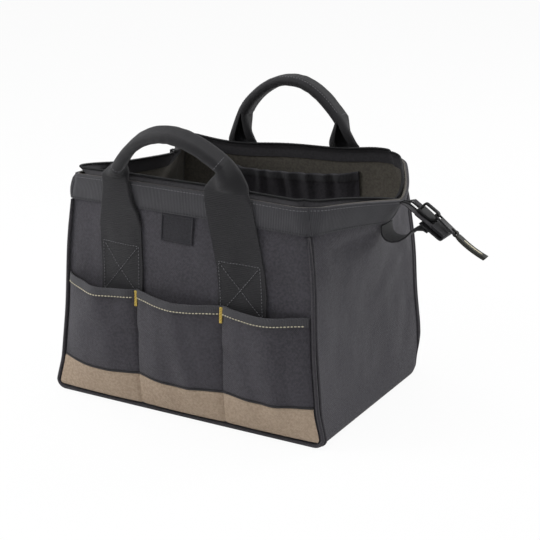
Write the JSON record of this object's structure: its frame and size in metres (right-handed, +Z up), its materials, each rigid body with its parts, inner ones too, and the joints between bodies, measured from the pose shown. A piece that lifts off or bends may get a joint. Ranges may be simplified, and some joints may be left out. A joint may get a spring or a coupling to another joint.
{
  "type": "zippered tool bag",
  "caption": "Open-mouthed cloth tool bag with outer pockets, tan lower band, rolled webbing handles and a zipper whose tail and pull hang over one end.",
  "frame": {"origin": "on the floor under the middle of the bag's base", "axes": "+X towards the end with the zipper tail, -Y towards the front with the label patch, +Z up"},
  "size_m": [0.4249, 0.2821, 0.3087],
  "materials": {
    "cloth": "matte coated polyester weave",
    "tan_cloth": "matte coated polyester weave",
    "hem_tape": "ribbed woven tape",
    "webbing": "ribbed polypropylene webbing",
    "yellow_thread": "dense stitching",
    "label_cloth": "smooth woven patch, bare",
    "board": "pebbled stiffener board",
    "zipper_tape": "fine herringbone tape",
    "zipper_coil": "moulded nylon coil",
    "black_metal": "black enamel, worn at the edges",
    "foam": "closed-cell foam rod",
    "puller_rubber": "moulded rubber with a pale stripe"
  },
  "bodies": {
    "bag": {"bottom_panel": "cloth", "bottom_board": "board", "front_panel": "cloth", "rear_panel": "cloth", "left_end_panel": "cloth", "right_end_panel": "cloth", "front_hem": "hem_tape", "rear_hem": "hem_tape", "left_end_hem": "hem_tape", "right_end_hem": "hem_tape", "front_piping": "webbing", "rear_piping": "webbing", "front_pocket_left": "cloth", "front_pocket_middle": "cloth", "front_pocket_right": "cloth", "rear_pocket_left": "cloth", "rear_pocket_middle": "cloth", "rear_pocket_right": "cloth", "front_pocket_binding": "webbing", "rear_pocket_binding": "webbing", "front_trim_band": "tan_cloth", "rear_trim_band": "tan_cloth", "front_bartack_left": "yellow_thread", "front_bartack_right": "yellow_thread", "rear_bartack_left": "yellow_thread", "rear_bartack_right": "yellow_thread", "label_patch": "label_cloth", "inner_pocket": "cloth", "inner_pocket_binding": "webbing", "front_strap_left": "webbing", "front_strap_right": "webbing", "rear_strap_left": "webbing", "rear_strap_right": "webbing", "zipper_tape_front": "zipper_tape", "zipper_tape_rear": "zipper_tape", "zipper_coil_front": "zipper_coil", "zipper_coil_rear": "zipper_coil", "zipper_start_stop": "black_metal", "tail_tab": "webbing", "tail_strap": "webbing"},
    "front_handle": {"front_handle_webbing": "webbing", "front_handle_core": "foam"},
    "rear_handle": {"rear_handle_webbing": "webbing", "rear_handle_core": "foam"},
    "zipper_slider": {"slider": "black_metal"},
    "zipper_pull_tab": {"pull_tab": "black_metal"},
    "zipper_puller": {"puller": "puller_rubber"}
  },
  "joints": [
    {"name": "front_handle_swing", "type": "hinge", "parent": "bag", "child": "front_handle", "pos_m": [0, -0.10776, 0.236], "axis": [1, 0, 0], "range_deg": [-51, 69]},
    {"name": "rear_handle_swing", "type": "hinge", "parent": "bag", "child": "rear_handle", "pos_m": [0, 0.10754, 0.236], "axis": [-1, 0, 0], "range_deg": [-30, 90]},
    {"name": "zipper_slide", "type": "slide", "parent": "bag", "child": "zipper_slider", "axis": [-0.8387, 0, 0.5446], "range_m": [0, 0.008]},
    {"name": "pull_tab_flip", "type": "hinge", "parent": "zipper_slider", "child": "zipper_pull_tab", "pos_m": [0.21563, 0, 0.21321], "axis": [0, -1, 0], "range_deg": [-2, 140]},
    {"name": "puller_swing", "type": "hinge", "parent": "zipper_pull_tab", "child": "zipper_puller", "pos_m": [0.23598, 0, 0.19703], "axis": [0, -1, 0], "range_deg": [-60, 60]}
  ]
}
